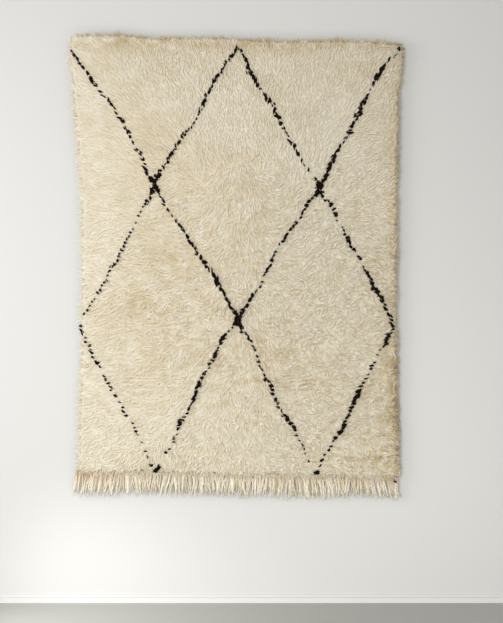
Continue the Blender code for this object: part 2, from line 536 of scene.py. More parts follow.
# How the pile is combed: the heading of its tips in degrees, 0 to the right and 90 up, at each
# height and at seven places across the rug. It is parted along the crown.
CROWN = -0.62
PARTING_WAVES = (Wave(0.06, 0.15, 11), Wave(0.11, 0.028, 16))
HAND_WAVES = (Wave(20, 0.11, 12), Wave(12, 0.045, 13))
COMBED_AT = (-0.66, -0.44, -0.22, 0.0, 0.22, 0.44, 0.66)
Combed = namedtuple("Combed", "z headings")
ABOVE_CROWN = (
    Combed(0.02, (130, 105, 92, 88, 80, 70, 50)),
    Combed(-0.15, (140, 100, 90, 88, 68, 74, 64)),
    Combed(-0.30, (172, 136, 86, 82, 68, 55, 45)),
    Combed(-0.45, (192, 147, 95, 90, 98, 60, 30)),
    Combed(-0.60, (180, 162, 145, 90, 76, 30, 22)),
)
BELOW_CROWN = (
    Combed(-0.65, (180, 185, 205, 255, 405, 395, 375)),
    Combed(-0.80, (192, 192, 198, 260, 395, 380, 345)),
    Combed(-0.97, (185, 182, 190, 250, 382, 395, 330)),
    Combed(-1.16, (202, 198, 184, 218, 382, 382, 370)),
    Combed(-1.36, (200, 192, 199, 235, 373, 373, 372)),
    Combed(-1.56, (196, 192, 212, 245, 370, 356, 360)),
    Combed(-1.72, (205, 205, 228, 262, 348, 372, 352)),
    Combed(-1.85, (206, 245, 245, 278, 372, 350, 320)),
    Combed(-1.97, (215, 260, 262, 272, 302, 330, 315)),
)


def table_value(rows, x, z):
    """The heading at a place, between the rows and the columns of a combing table."""
    heights = np.array([row.z for row in rows])[::-1]
    columns = [np.array([row.headings[i] for row in rows])[::-1] for i in range(len(COMBED_AT))]
    at_height = np.array([np.interp(z, heights, column) for column in columns])
    share = np.clip(np.interp(x, COMBED_AT, range(len(COMBED_AT))), 0, len(COMBED_AT) - 1.001)
    i = share.astype(int)
    here = np.arange(len(x))
    return at_height[i, here] + (share - i) * (at_height[i + 1, here] - at_height[i, here])


def heading_at(x, z):
    """The way that the pile is combed at a place, in radians, with the waves that hands leave."""
    parting = CROWN + waves(x, z, *PARTING_WAVES)
    swept = np.where(z > parting, table_value(ABOVE_CROWN, x, z), table_value(BELOW_CROWN, x, z))
    return np.radians(swept + waves(x, z, *HAND_WAVES))


Shape = namedtuple("Shape", "along angle corners corner_uv")
CAP = 0.1  # the closed root takes up this share of a lock's map


def spindle(sides, rings):
    """A pointed tube one unit long, closed at its root: where each vertex lies along and around
    it, its triangles, and each corner's place in a flat map with the sides next to each other."""
    tube = bmesh.new()
    bmesh.ops.create_cone(tube, cap_ends=True, segments=sides, radius1=1, radius2=0, depth=1)
    bmesh.ops.remove_doubles(tube, verts=tube.verts, dist=1e-5)
    bmesh.ops.translate(tube, verts=tube.verts, vec=(0, 0, 0.5))
    for ring in rings:
        parts = tube.verts[:] + tube.edges[:] + tube.faces[:]
        bmesh.ops.bisect_plane(tube, geom=parts, plane_co=(0, 0, ring), plane_no=(0, 0, 1))
    bmesh.ops.triangulate(tube, faces=tube.faces)
    tube.verts.index_update()
    turn = math.tau / sides
    first = min(math.atan2(v.co.y, v.co.x) % turn for v in tube.verts if v.co.z < 1e-4)
    corners, corner_uv = [], []
    for face in tube.faces:
        corners.append([v.index for v in face.verts])
        if max(v.co.z for v in face.verts) < 1e-4:
            for v in face.verts:
                corner_uv.append((0.5 + 0.45 * v.co.x, CAP * (0.4 + 0.35 * v.co.y)))
            continue
        middle = face.calc_center_median()
        side = math.floor(((math.atan2(middle.y, middle.x) - first) % math.tau) / turn)
        for v in face.verts:
            around = ((math.atan2(v.co.y, v.co.x) - first - side * turn) % math.tau) / turn
            share = 0.5 if v.co.z > 0.999 else min(around, 1.0) if around < 1.5 else 0.0
            corner_uv.append(((side + share) / sides, CAP + (1 - CAP) * v.co.z))
    along = np.array([v.co.z for v in tube.verts])
    angle = np.array([math.atan2(v.co.y, v.co.x) - first + math.pi / 2 for v in tube.verts])
    tube.free()
    return Shape(along, angle, np.array(corners), np.array(corner_uv))


def bent(shape, root, bend, tip, width, taper):
    """Copies of a shape, each laid along its own curve from root past bend to tip in the plane
    of the rug. Returns x and z of every vertex, and how far each stands out from its curve."""
    u = shape.along[None, :, None]
    curve = (1 - u) ** 2 * root[:, None] + 2 * u * (1 - u) * bend[:, None] + u * u * tip[:, None]
    way = (1 - u) * (bend - root)[:, None] + u * (tip - bend)[:, None]
    way /= np.maximum(np.linalg.norm(way, axis=2, keepdims=True), 1e-9)
    radius = width[:, None] / 2 * np.interp(shape.along, *taper)
    sideways = radius * np.cos(shape.angle)
    x = curve[:, :, 0] - way[:, :, 1] * sideways
    z = curve[:, :, 1] + way[:, :, 0] * sideways
    return x, z, radius * np.sin(shape.angle)


BAKE_MARGIN = 0.06


def joined(name, shape, x, y, z, values):
    """One mesh of all the copies. values holds, under the name of an attribute, a number for each
    copy or for each vertex. The map Lock runs along and around every copy, and in OFBake each has
    a square of its own."""
    count, points = x.shape
    mesh = bpy.data.meshes.new(name)
    mesh.vertices.add(count * points)
    mesh.vertices.foreach_set("co", np.stack([x, y, z], 2).astype(np.float32).ravel())
    corners = (shape.corners[None] + points * np.arange(count)[:, None, None]).ravel()
    mesh.loops.add(len(corners))
    mesh.loops.foreach_set("vertex_index", corners.astype(np.int32))
    mesh.polygons.add(len(corners) // 3)
    mesh.polygons.foreach_set("loop_start", np.arange(0, len(corners), 3, dtype=np.int32))
    mesh.update(calc_edges=True)
    for key, value in values.items():
        set_attribute(mesh, key, np.repeat(value, points) if value.ndim == 1 else value.ravel())
    set_map(mesh, "Lock", np.tile(shape.corner_uv, (count, 1)))
    squares = math.ceil(math.sqrt(count))
    square = np.stack([np.arange(count) % squares, np.arange(count) // squares], 1)
    inner = BAKE_MARGIN + (1 - 2 * BAKE_MARGIN) * shape.corner_uv
    set_map(mesh, "OFBake", (square[:, None] + inner[None]) / squares)
    return mesh


def soften(mesh, share, less=0.0):
    """Turns the shading normals of the faces in front towards the combed surface by this share,
    as the light that fibres pass on to each other evens out a pile."""
    x, z = places_on(mesh)
    step = SLOPE_STEP
    slope_x = (surface_height(x + step, z) - surface_height(x - step, z)) / (2 * step)
    slope_z = (surface_height(x, z + step) - surface_height(x, z - step)) / (2 * step)
    facing = np.stack([-SLOPE_SHOWN[0] * slope_x, -np.ones(len(x)), -SLOPE_SHOWN[1] * slope_z], 1)
    facing /= np.linalg.norm(facing, axis=1, keepdims=True)
    normals = np.empty(len(x) * 3, np.float32)
    mesh.vertices.foreach_get("normal", normals)
    faces = np.empty(len(mesh.polygons) * 3, np.float32)
    mesh.polygons.foreach_get("normal", faces)
    in_front = np.clip(-3 * np.repeat(faces[1::3], 3), 0, 1)
    corners = corners_of(mesh)
    turned = ((share - less * unruly(x, z))[corners] * in_front)[:, None]
    normals = normals.reshape(-1, 3)[corners] * (1 - turned) + facing[corners] * turned
    normals /= np.maximum(np.linalg.norm(normals, axis=1, keepdims=True), 1e-6)
    mesh.normals_split_custom_set(normals.astype(np.float32))


def direction(angle):
    return np.stack([np.cos(angle), np.sin(angle)], 1)


def under_rim(x, z, height):
    """Height over the ground, held down to the combed surface."""
    own = height.max(axis=1, keepdims=True) / PILE_HEIGHT[1]
    return np.minimum(height, surface_height(x, z) * own)


def within_overhang(root, tip, overhang):
    """Tips drawn back along their locks until none hangs further past the outline than this."""
    at_right, at_top = root[:, 0] > RIGHT_ZONE, root[:, 1] > TOP_ZONE
    overhang = overhang - RIGHT_TRIM * at_right - TOP_TRIM * at_top
    share = np.ones(len(root))
    for _ in range(MOST_DRAWS):
        reached = root + (tip - root) * share[:, None]
        past = inside(reached[:, 0], reached[:, 1]) < -overhang
        share[past] *= DRAWN_BACK
    return root + (tip - root) * share[:, None]


def pile_depth(shape, x, z, rise, stand_out, least=0.0):
    """y of every vertex of a lock that climbs from the ground and lies flat towards its tip."""
    climb = 1 - (1 - shape.along) ** 2
    middle_x, middle_z = x.copy(), z.copy()
    for ring in np.unique(shape.along):
        there = shape.along == ring
        middle_x[:, there] = x[:, there].mean(axis=1, keepdims=True)
        middle_z[:, there] = z[:, there].mean(axis=1, keepdims=True)
    height = under_rim(middle_x, middle_z, rise[:, None] * climb)
    height = np.maximum(height, np.maximum(least * climb, LEAST_RISE))
    return BACK - GROUND + SUNK_IN - height - LOCK_FLATNESS * stand_out


def scattered_roots(spacing, seed):
    """Roots of knots all over the rug, each moved a little from its place in the row."""
    columns = np.arange(low[0], high[0], spacing)
    rows = np.arange(low[2], high[2], spacing)
    x, z = (a.ravel() for a in np.meshgrid(columns, rows))
    shift = np.random.default_rng(seed).uniform(-KNOT_SHIFT, KNOT_SHIFT, (2, len(x))) * spacing
    x, z = x + shift[0], z + shift[1]
    kept = inside(x, z) > GROUND_INSET - ROOTS_OUTSIDE
    return x[kept], z[kept]


def clump_of(x, z):
    """The number and the middle of the clump that each root belongs to."""
    rng = np.random.default_rng(21)
    across, up = (int(v) + 8 for v in (high[[0, 2]] - low[[0, 2]]) / CLUMP_SIZE)
    cells = np.stack(np.meshgrid(np.arange(across), np.arange(up), indexing="ij"), 2) - 3
    middles = (rng.uniform(0.05, 0.95, (across, up, 2)) + cells) * CLUMP_SIZE + low[[0, 2]]
    combed = heading_at(middles[:, :, 0].ravel(), middles[:, :, 1].ravel()).reshape(across, up)
    i = np.floor((x - low[0]) / CLUMP_SIZE).astype(int) + 3
    k = np.floor((z - low[2]) / CLUMP_SIZE).astype(int) + 3
    best = np.full(len(x), np.inf)
    number, middle = np.zeros(len(x), int), np.zeros((len(x), 2))
    for di in (-2, -1, 0, 1, 2):
        for dk in (-2, -1, 0, 1, 2):
            there = middles[i + di, k + dk]
            way = combed[i + di, k + dk]
            off_x, off_z = there[:, 0] - x, there[:, 1] - z
            along = off_x * np.cos(way) + off_z * np.sin(way)
            aside = off_z * np.cos(way) - off_x * np.sin(way)
            away = np.hypot(along / CLUMP_STRETCH, aside)
            nearer = away < best
            best[nearer] = away[nearer]
            number[nearer] = ((i + di) * up + k + dk)[nearer]
            middle[nearer] = there[nearer]
    return number, middle, across * up


lock_shape = spindle(3, LOCK_RINGS)
rng = np.random.default_rng(31)
x, z = scattered_roots(KNOT_SPACING, 32)
clump, middle, clumps = clump_of(x, z)
stray = unruly(x, z)
clump_turn = rng.normal(0, math.radians(CLUMP_TURN), clumps)[clump] * stray**1.5
clump_rise = rng.uniform(0, 1, clumps)[clump]
clump_shade = rng.normal(0, 1, clumps)[clump]
clump_length = rng.uniform(*LOCK_LENGTH, clumps)[clump]

root = np.stack([x, z], 1)
middle_heading = heading_at(middle[:, 0], middle[:, 1]) + clump_turn
own_turn = rng.normal(0, math.radians(LOCK_TURN), len(x)) * stray**1.5
length = clump_length * rng.uniform(*LENGTH_SPREAD, len(x)) * (SHORTER[0] - SHORTER[1] * stray)
laid = direction(middle_heading + own_turn) * length[:, None]
free_tip = root + (1 - KNOT_SHARE) * laid
clump_tip = middle + (1 - KNOT_SHARE) * direction(middle_heading) * clump_length[:, None]
root = root - KNOT_SHARE * laid
tip = free_tip + CLUMP_PULL * stray[:, None] * (clump_tip - free_tip)
overhang = rng.uniform(*OVERHANG, clumps)[clump]
overhang = overhang + rng.uniform(-OWN_OVERHANG, OWN_OVERHANG, len(x))
tip = within_overhang(root, tip, overhang)
curl = np.clip(rng.normal(0, LOCK_CURL, len(x)), -MOST_CURL, MOST_CURL) * (0.25 + stray)
way = tip - root
bend = (root + tip) / 2 + curl[:, None] * np.stack([-way[:, 1], way[:, 0]], 1)
sunk = stray * (0.6 * clump_rise + 0.4 * rng.uniform(0, 1, len(x)))
rise = PILE_HEIGHT[1] - (PILE_HEIGHT[1] - PILE_HEIGHT[0]) * sunk
drawn_back = np.clip(np.linalg.norm(way, axis=1) / FULL_WIDTH_FROM, 0.3, 1)
width = rng.uniform(*LOCK_WIDTH, len(x)) * drawn_back * (NARROWER[0] - NARROWER[1] * stray)
shade = 0.7 * clump_shade + 0.3 * rng.normal(0, 1, len(x))

band = np.clip(((high[2] - z) / (high[2] - low[2]) * PILE_BANDS).astype(int), 0, PILE_BANDS - 1)
for number in range(PILE_BANDS):
    own = band == number
    px, pz, stand_out = bent(lock_shape, root[own], bend[own], tip[own], width[own], LOCK_TAPER)
    py = pile_depth(lock_shape, px, pz, rise[own], stand_out)
    values = {"shade": shade[own], "tan": tan_and_shade_at(px.ravel(), pz.ravel()).reshape(px.shape)}
    mesh = joined(f"cream_pile_{number + 1}", lock_shape, px, py, pz, values)
    locks = piece(mesh, cream_wool)
    soften(mesh, *PILE_SOFTNESS)

# ------------------------------------------------------------------------------------- wisps
# Along the edges single ends of fleece stray from their locks. They point outwards, keep together
# in tufts and hang a little past the ground, so the rug has no hard outline.

WISP_SPACING = 0.0052
WISP_REACH = 0.030
WISP_STEP = 0.002
WISP_LENGTH = (0.026, 0.046)
WISP_WIDTH = (0.0025, 0.0056)
WISP_OVERHANG = (-0.006, 0.017)
WISP_TUFTS = Wave(0.012, 0.025, 25)
WISP_LEAST = 0.014
WISP_TURN = 24  # in degrees
WISP_COMBED = 0.4  # they follow the combing by this share
WISP_AT_TOP = 1.25  # and are longer along the top
WISP_BEND = 0.003
WISP_RISE = (0.5, 1.03)
WISP_TONE = (0.6, 0.8)  # their mean tone, and how far it spreads
WISP_TAPER = ((0.0, 0.5, 1.0), (1.0, 0.8, 0.0))

wisp_shape = spindle(3, (0.5,))
rng = np.random.default_rng(63)
x, z = scattered_roots(WISP_SPACING, 64)
near = inside(x, z) < WISP_REACH
x, z = x[near], z[near]
out_x = inside(x - WISP_STEP, z) - inside(x + WISP_STEP, z)
out_z = inside(x, z - WISP_STEP) - inside(x, z + WISP_STEP)
outwards = np.arctan2(out_z, out_x) + rng.normal(0, math.radians(WISP_TURN), len(x))
root = np.stack([x, z], 1)
length = rng.uniform(*WISP_LENGTH, len(x))
length = length * np.where(out_z > 0.5 * np.abs(out_x), WISP_AT_TOP, 1.0)
laid = direction(outwards) + WISP_COMBED * direction(heading_at(x, z))
tip = root + laid * length[:, None]
overhang = rng.uniform(*WISP_OVERHANG, len(x)) + waves(x, z, WISP_TUFTS)
tip = within_overhang(root, tip, overhang)
bend = (root + tip) / 2 + rng.normal(0, WISP_BEND, root.shape)
width = rng.uniform(*WISP_WIDTH, len(x))
px, pz, stand_out = bent(wisp_shape, root, bend, tip, width, WISP_TAPER)
rise = rng.uniform(*WISP_RISE, len(x)) * PILE_HEIGHT[1]
py = pile_depth(wisp_shape, px, pz, rise, stand_out, WISP_LEAST)
values = {"shade": rng.normal(*WISP_TONE, len(x)), "tan": tan_and_shade_at(x, z)}
mesh = joined("pile_wisps", wisp_shape, px, py, pz, values)
wisps = piece(mesh, cream_wool)
soften(mesh, *PILE_SOFTNESS)

# ------------------------------------------------------------------------------- loose curls
# A few long white ends of fleece have worked loose at the top right corner. They lie on the pile
# in small loops, held by nothing but their own knots.

Curl = namedtuple("Curl", "root bend tip")
CURLS = (
    Curl((0.622, -0.050), (0.672, -0.038), (0.708, -0.066)),
    Curl((0.640, -0.056), (0.690, -0.050), (0.700, -0.080)),
    Curl((0.650, -0.046), (0.700, -0.042), (0.712, -0.058)),
    Curl((0.706, -0.060), (0.702, -0.090), (0.672, -0.096)),
    Curl((0.716, -0.070), (0.700, -0.100), (0.688, -0.088)),
    Curl((0.664, -0.072), (0.676, -0.094), (0.700, -0.092)),
)
CURL_WIDTH = 0.0042
CURL_TAPER = ((0.0, 0.3, 1.0), (0.5, 1.0, 0.2))
CURL_PROUD = 0.003
CURL_FLATNESS = 0.5
CURL_TONE = 2.0
CURL_TAN = -0.4

curl_shape = spindle(3, (0.2, 0.4, 0.6, 0.8))
root, bend, tip = (np.array([getattr(curl, end) for curl in CURLS]) for end in Curl._fields)
width = np.full(len(CURLS), CURL_WIDTH)
px, pz, stand_out = bent(curl_shape, root, bend, tip, width, CURL_TAPER)
py = BACK - GROUND - PILE_HEIGHT[1] - CURL_PROUD - CURL_FLATNESS * stand_out
values = {"shade": np.full(len(CURLS), CURL_TONE), "tan": np.full(len(CURLS), CURL_TAN)}
mesh = joined("loose_curls", curl_shape, px, py, pz, values)
curls = piece(mesh, cream_wool)

# -------------------------------------------------------------------------------- dark lines
# The lattice is drawn in knots of naturally black-brown wool, one or two to a row, so its lines
# come out as broken dashes. Cream locks fall over many of them. Where two lines meet the knots
# crowd into a dark clot.

# Where a line runs, from above down, and how strongly its dark tips show there: 1 is a plain
# line of dashes, 0 is covered by the cream pile, 3 is a clot. Its pitch is the way from dash to
# dash, and its heading, in degrees, the way that their locks lie.
Mark = namedtuple("Mark", "x z shown")
Line = namedtuple("Line", "name pitch heading stretch marks")
LINES = (
    Line("left corner to left crossing", 0.024, 128, 1.35, (
        Mark(-0.741, -0.068, 0.5), Mark(-0.726, -0.090, 1.2), Mark(-0.697, -0.135, 0.8),
        Mark(-0.681, -0.156, 1.1), Mark(-0.650, -0.200, 0.8), Mark(-0.600, -0.265, 0.7),
        Mark(-0.550, -0.326, 0.7), Mark(-0.515, -0.385, 0.9), Mark(-0.480, -0.450, 0.8),
        Mark(-0.447, -0.511, 0.8), Mark(-0.420, -0.560, 1.0), Mark(-0.400, -0.620, 1.2),
        Mark(-0.374, -0.660, 3.0),
    )),
    Line("top middle to left crossing", 0.015, 72, 1.0, (
        Mark(-0.005, -0.055, 1.3), Mark(-0.040, -0.100, 0.8), Mark(-0.070, -0.145, 0.8),
        Mark(-0.102, -0.195, 1.3), Mark(-0.130, -0.245, 0.7), Mark(-0.165, -0.314, 1.2),
        Mark(-0.185, -0.364, 0.35), Mark(-0.202, -0.395, 0.4), Mark(-0.235, -0.435, 0.8),
        Mark(-0.282, -0.492, 1.3), Mark(-0.318, -0.564, 1.1), Mark(-0.350, -0.610, 1.2),
        Mark(-0.374, -0.655, 3.0),
    )),
    Line("top middle to right crossing", 0.022, 116, 1.25, (
        Mark(0.008, -0.060, 0.6), Mark(0.040, -0.118, 1.2), Mark(0.058, -0.175, 1.7),
        Mark(0.085, -0.218, 1.4), Mark(0.102, -0.240, 0.5), Mark(0.131, -0.283, 1.3),
        Mark(0.175, -0.351, 1.4), Mark(0.213, -0.422, 0.8), Mark(0.233, -0.472, 1.2),
        Mark(0.276, -0.539, 1.1), Mark(0.300, -0.586, 0.4), Mark(0.330, -0.624, 0.0),
        Mark(0.352, -0.650, 1.2), Mark(0.361, -0.672, 3.0),
    )),
    Line("right corner to right crossing", 0.019, 58, 1.2, (
        Mark(0.716, -0.062, 1.3), Mark(0.704, -0.073, 0.2), Mark(0.684, -0.094, 0.6),
        Mark(0.670, -0.107, 0.9), Mark(0.657, -0.122, 0.2), Mark(0.645, -0.141, 1.2),
        Mark(0.622, -0.177, 2.0), Mark(0.600, -0.208, 1.0), Mark(0.588, -0.228, 0.0),
        Mark(0.557, -0.298, 1.5), Mark(0.519, -0.369, 1.4), Mark(0.496, -0.416, 1.2),
        Mark(0.465, -0.475, 0.7), Mark(0.429, -0.531, 1.0), Mark(0.396, -0.605, 1.8),
        Mark(0.380, -0.640, 1.0), Mark(0.361, -0.672, 3.0),
    )),
    Line("left crossing to left turn", 0.017, 42, 0.9, (
        Mark(-0.374, -0.665, 3.0), Mark(-0.400, -0.722, 0.8), Mark(-0.430, -0.770, 0.4),
        Mark(-0.455, -0.816, 0.3), Mark(-0.485, -0.875, 0.5), Mark(-0.525, -0.957, 0.7),
        Mark(-0.544, -1.010, 0.9), Mark(-0.564, -1.030, 1.0), Mark(-0.590, -1.076, 0.4),
        Mark(-0.614, -1.124, 0.8), Mark(-0.640, -1.160, 0.3), Mark(-0.672, -1.215, 0.5),
        Mark(-0.700, -1.262, 0.2),
    )),
    Line("left crossing to middle", 0.021, 124, 1.3, (
        Mark(-0.374, -0.670, 3.0), Mark(-0.345, -0.718, 0.6), Mark(-0.330, -0.750, 1.0),
        Mark(-0.304, -0.793, 0.1), Mark(-0.275, -0.825, 0.6), Mark(-0.230, -0.892, 0.8),
        Mark(-0.195, -0.945, 1.0), Mark(-0.151, -1.012, 1.1), Mark(-0.119, -1.055, 1.0),
        Mark(-0.103, -1.080, 1.9), Mark(-0.078, -1.124, 0.9), Mark(-0.040, -1.196, 1.1),
        Mark(-0.012, -1.240, 1.4), Mark(-0.007, -1.268, 1.7),
    )),
    Line("right crossing to middle", 0.019, 50, 1.1, (
        Mark(0.358, -0.680, 3.0), Mark(0.334, -0.711, 1.1), Mark(0.302, -0.754, 0.9),
        Mark(0.275, -0.812, 0.4), Mark(0.240, -0.850, 0.6), Mark(0.206, -0.898, 0.7),
        Mark(0.173, -0.940, 0.2), Mark(0.143, -1.000, 0.8), Mark(0.125, -1.060, 0.7),
        Mark(0.108, -1.092, 0.2), Mark(0.076, -1.135, 0.7), Mark(0.048, -1.181, 1.0),
        Mark(0.015, -1.230, 1.1), Mark(-0.007, -1.268, 1.7),
    )),
    Line("right crossing to right turn", 0.016, 148, 0.9, (
        Mark(0.362, -0.685, 2.6), Mark(0.378, -0.712, 0.6), Mark(0.410, -0.748, 1.6),
        Mark(0.437, -0.798, 1.1), Mark(0.453, -0.835, 0.1), Mark(0.482, -0.895, 1.2),
        Mark(0.523, -0.965, 0.6), Mark(0.537, -0.987, 1.1), Mark(0.549, -1.011, 0.0),
        Mark(0.573, -1.059, 0.9), Mark(0.597, -1.108, 1.3), Mark(0.640, -1.173, 1.9),
        Mark(0.650, -1.201, 0.8), Mark(0.676, -1.247, 1.5), Mark(0.686, -1.298, 1.4),
    )),
    Line("left turn to bottom left", 0.018, 152, 0.95, (
        Mark(-0.706, -1.285, 0.6), Mark(-0.700, -1.317, 0.9), Mark(-0.680, -1.345, 0.6),
        Mark(-0.640, -1.437, 0.5), Mark(-0.626, -1.460, 0.9), Mark(-0.608, -1.486, 0.1),
        Mark(-0.589, -1.525, 0.5), Mark(-0.555, -1.590, 0.6), Mark(-0.528, -1.630, 0.2),
        Mark(-0.510, -1.671, 1.0), Mark(-0.485, -1.705, 0.0), Mark(-0.455, -1.762, 0.7),
        Mark(-0.435, -1.800, 0.1), Mark(-0.414, -1.841, 0.3), Mark(-0.405, -1.880, 0.3),
        Mark(-0.394, -1.900, 0.1), Mark(-0.384, -1.911, 1.1), Mark(-0.380, -1.920, 0.0),
    )),
    Line("middle to bottom left", 0.016, 38, 1.0, (
        Mark(-0.008, -1.275, 1.7), Mark(-0.036, -1.302, 0.2), Mark(-0.071, -1.345, 1.5),
        Mark(-0.088, -1.390, 0.5), Mark(-0.118, -1.441, 1.1), Mark(-0.135, -1.475, 0.2),
        Mark(-0.171, -1.533, 1.1), Mark(-0.190, -1.584, 1.2), Mark(-0.206, -1.625, 0.9),
        Mark(-0.232, -1.682, 0.9), Mark(-0.263, -1.726, 1.5), Mark(-0.272, -1.765, 0.5),
        Mark(-0.288, -1.804, 0.9), Mark(-0.300, -1.822, 0.0), Mark(-0.321, -1.852, 0.7),
        Mark(-0.332, -1.870, 0.0), Mark(-0.350, -1.905, 0.0),
    )),
    Line("middle to bottom right", 0.018, 122, 1.0, (
        Mark(0.000, -1.278, 1.4), Mark(0.020, -1.315, 0.9), Mark(0.045, -1.345, 1.0),
        Mark(0.066, -1.380, 0.4), Mark(0.082, -1.419, 0.3), Mark(0.104, -1.490, 0.5),
        Mark(0.136, -1.545, 1.4), Mark(0.160, -1.605, 1.1), Mark(0.185, -1.655, 0.4),
        Mark(0.221, -1.708, 1.3), Mark(0.251, -1.753, 1.3), Mark(0.275, -1.800, 0.1),
        Mark(0.286, -1.825, 0.8), Mark(0.300, -1.860, 0.3), Mark(0.330, -1.918, 0.1),
        Mark(0.338, -1.930, 0.0),
    )),
    Line("right turn to bottom right", 0.016, 36, 1.0, (
        Mark(0.686, -1.300, 1.0), Mark(0.673, -1.329, 1.5), Mark(0.645, -1.375, 1.1),
        Mark(0.622, -1.410, 0.1), Mark(0.592, -1.469, 0.5), Mark(0.575, -1.505, 0.3),
        Mark(0.547, -1.560, 0.6), Mark(0.529, -1.590, 1.8), Mark(0.508, -1.640, 1.1),
        Mark(0.486, -1.690, 0.8), Mark(0.454, -1.755, 1.5), Mark(0.440, -1.779, 1.1),
        Mark(0.420, -1.815, 0.3), Mark(0.380, -1.865, 0.4), Mark(0.364, -1.915, 0.3),
    )),
    Line("tuft at the bottom left turn", 0.009, 52, 1.3, (
        Mark(-0.373, -1.940, 1.0), Mark(-0.356, -1.918, 1.0),
    )),
    Line("clot at the bottom right turn", 0.009, 10, 0.8, (
        Mark(0.340, -1.948, 1.3), Mark(0.362, -1.940, 1.0),
    )),
    Line("tuft at the bottom right corner", 0.012, 142, 0.9, (
        Mark(0.694, -1.978, 0.7), Mark(0.706, -1.987, 0.7),
    )),
)

DARK_STEP = 0.002
DARK_LENGTH = (0.021, 0.030)
DARK_WIDTH = (0.0060, 0.0100)
DASH_ALONG = 0.0026  # how far the locks of one dash scatter along it, and across it
DASH_ACROSS = 0.0022
DASH_TURN = (12, 8)  # in degrees, and this much more for each step of strength past 1
DASH_SIZE = (0.60, 0.36)  # share of a lock's size, and how much more for each step of strength
FULL_SIZE = 1.1
DASH_LOCKS = (1.3, 2.6)  # locks besides the first, likewise
MOST_CROWDED = 1.6
CLOT = 2.6  # past this strength a dash gets no stronger
GAP = 0.05  # below this there is no dash
CROWDING = 0.35
LOCK_FAN = 9
DARK_BEND = 0.0018
DARK_RISE = (0.92, 1.12)
DARK_ABOVE_TIP = 0.45  # this share of a dark lock lies past its dash
DARK_PROUD = (0.0016, 0.0024)  # how far a dark lock lies over the cream, and how much more at its tip
DARK_LEAST = 0.017
DARK_TAPER = ((0.0, 0.36, 0.72, 1.0), (0.45, 0.95, 1.0, 0.0))


def along_line(marks, step):
    """Evenly spaced places on the line through the marks, and its strength there."""
    corners = np.array([(mark.x, mark.z) for mark in marks])
    lengths = np.hypot(*np.diff(corners, axis=0).T)
    reached = np.concatenate([[0], np.cumsum(lengths)])
    at = np.arange(step / 2, reached[-1], step)
    x, z = (np.interp(at, reached, corners[:, k]) for k in (0, 1))
    return x, z, np.interp(at, reached, [mark.shown for mark in marks])


# A dash is a few locks side by side. Dashes follow each other at the line's pitch, nearer
# and bigger where it shows strongly.
rng = np.random.default_rng(41)
DarkLock = namedtuple("DarkLock", "x z way size stretch")
dark, knot_places = [], []
for line in LINES:
    x, z, shown = along_line(line.marks, DARK_STEP)
    knot_places.append(np.stack([x, z], 1))
    due = rng.uniform(0.4, 1.0)
    for dash_x, dash_z, strength in zip(x, z, shown):
        crowding = min(strength / 0.5, 1) + CROWDING * max(strength - 1, 0)
        due += DARK_STEP / line.pitch * crowding
        if due < 1 or strength < GAP:
            continue
        due = rng.uniform(-0.2, 0.2)
        strength = min(strength, CLOT)
        turned = rng.normal(0, DASH_TURN[0] + DASH_TURN[1] * max(strength - 1, 0))
        turn = math.radians(line.heading + turned)
        size = min(DASH_SIZE[0] + DASH_SIZE[1] * strength, FULL_SIZE)
        across = DASH_ACROSS * (0.5 + strength)
        step_x, step_z = rng.normal(0, DASH_ACROSS, 2)
        mean_count = DASH_LOCKS[0] + DASH_LOCKS[1] * min(strength, MOST_CROWDED)
        for _ in range(1 + rng.poisson(mean_count)):
            along, aside = rng.normal(0, DASH_ALONG * line.stretch), rng.normal(0, across)
            off_x = step_x + along * math.cos(turn) - aside * math.sin(turn)
            off_z = step_z + along * math.sin(turn) + aside * math.cos(turn)
            own = turn + rng.normal(0, math.radians(LOCK_FAN))
            dark.append(DarkLock(dash_x + off_x, dash_z + off_z, own, size, line.stretch))

tip_x, tip_z, way, share, stretch = (np.array(column) for column in zip(*dark))
length = rng.uniform(*DARK_LENGTH, len(way)) * share * stretch
tip = np.stack([tip_x, tip_z], 1) + direction(way) * length[:, None] * DARK_ABOVE_TIP
root = tip - direction(way) * length[:, None]
bend = (root + tip) / 2 + rng.normal(0, DARK_BEND, tip.shape)
rise = rng.uniform(*DARK_RISE, len(way)) * PILE_HEIGHT[1]
width = rng.uniform(*DARK_WIDTH, len(way)) * share

# Naturally black-brown fleece: matt, without the cream's sheen. Some locks are nearly black, and
# some are a warm brown where the sun has bleached them.
dark_wool, surface = new_material("Black-brown fleece locks")
lock_map = add_node(dark_wool, "UVMap", {"uv_map": "Lock"}).outputs["UV"]
brown = add_node(
    dark_wool,
    "Mix",
    {"data_type": "RGBA"},
    Factor=own_tone(dark_wool),
    A=linear("#0E0704"),
    B=linear("#24160C"),
)
shader = add_node(
    dark_wool,
    "BsdfPrincipled",
    Base_Color=brown.outputs["Result"],
    Roughness=0.9,
    Normal=fibre_relief(dark_wool, lock_map, 0.6),
)
shader.inputs["Specular IOR Level"].default_value = 0.1
connect(dark_wool, shader, surface)

px, pz, stand_out = bent(lock_shape, root, bend, tip, width, DARK_TAPER)
py = pile_depth(lock_shape, px, pz, rise, stand_out, DARK_LEAST)
py = py - DARK_PROUD[0] - DARK_PROUD[1] * lock_shape.along
mesh = joined("dark_pile", lock_shape, px, py, pz, {"shade": rng.normal(0, 1, len(tip))})
dark_locks = piece(mesh, dark_wool)

# --------------------------------------------------------------------------- dark knot backs
# Behind, each dark knot shows as a short bead of the same wool. It crosses two warps in the furrow
# between two wefts, which hold it down, so the lattice is drawn there in thin broken lines.

BEAD_PITCH = 0.0062
BEAD_LENGTH = 0.0105
BEAD_WIDTH = 0.0058
BEAD_TAPER = ((0.0, 0.3, 0.8, 1.0), (0.45, 1.0, 0.9, 0.0))
BEAD_TILT = 0.0006
BEAD_FLATNESS = 0.4

